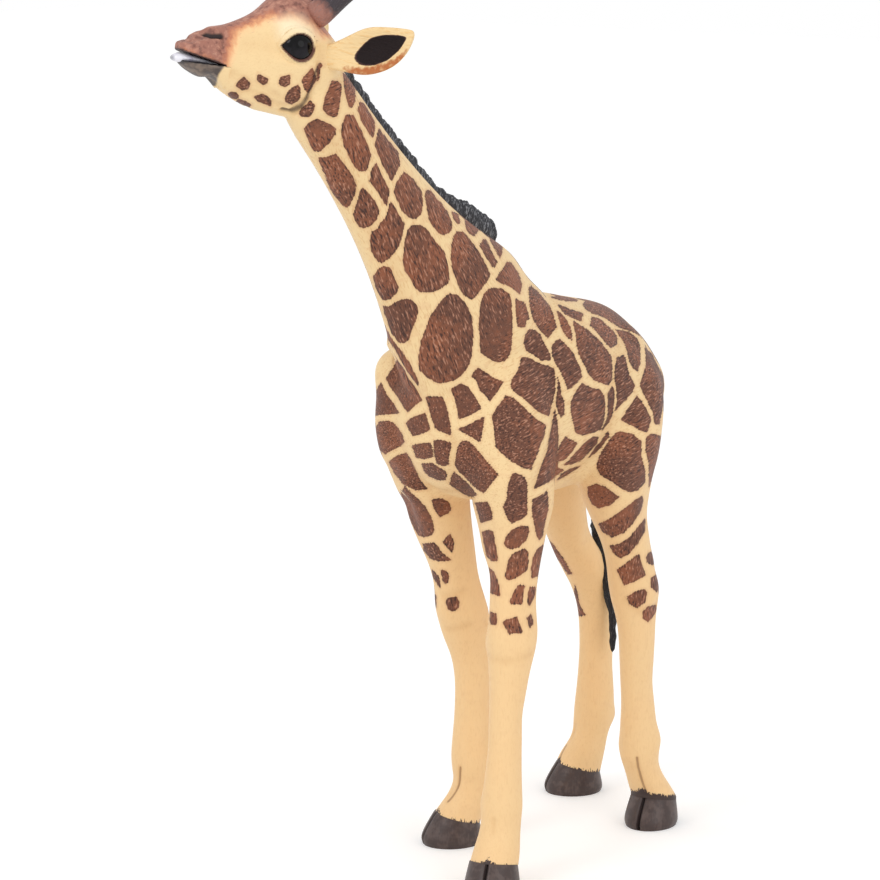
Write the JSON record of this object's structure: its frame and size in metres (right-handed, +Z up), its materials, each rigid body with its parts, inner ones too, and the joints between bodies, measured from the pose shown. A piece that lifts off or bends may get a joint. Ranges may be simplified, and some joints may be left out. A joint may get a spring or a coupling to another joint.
{
  "type": "toy giraffe figure",
  "caption": "Standing toy giraffe figure of moulded plastic, neck stretched forwards, head turned, tongue out; it stands on the flat soles of its hooves.",
  "frame": {"origin": "centre of the bounding box's base, on the floor between the hooves", "axes": "+Z up, -Y the way the figure faces, +X to the figure's own left"},
  "size_m": [0.0526, 0.1748, 0.2312],
  "materials": {
    "coat": "painted brown patches on a cream coat, satin",
    "stocking": "cream-yellow, satin",
    "charcoal": "charcoal, matt",
    "horn_brown": "dark brown, matt",
    "hoof_brown": "dark brown-grey, satin",
    "eye_black": "gloss black",
    "tongue_pale": "pale lavender, satin",
    "chin_grey": "dark grey, matt"
  },
  "bodies": {
    "root": {"torso_left_shell": "coat", "torso_right_shell": "coat", "neck": "coat", "head": "coat", "ear_left": "coat", "ear_right": "coat", "mane": "charcoal", "lower_jaw": "chin_grey", "tongue": "tongue_pale", "eye_left": "eye_black", "eye_right": "eye_black", "ossicone_left": "horn_brown", "ossicone_right": "horn_brown", "tail": "stocking", "tail_tuft": "charcoal", "front_left_leg": "stocking", "front_left_hoof": "hoof_brown", "front_right_leg": "stocking", "front_right_hoof": "hoof_brown", "rear_left_leg": "stocking", "rear_left_hoof": "hoof_brown", "rear_right_leg": "stocking", "rear_right_hoof": "hoof_brown"}
  },
  "joints": []
}
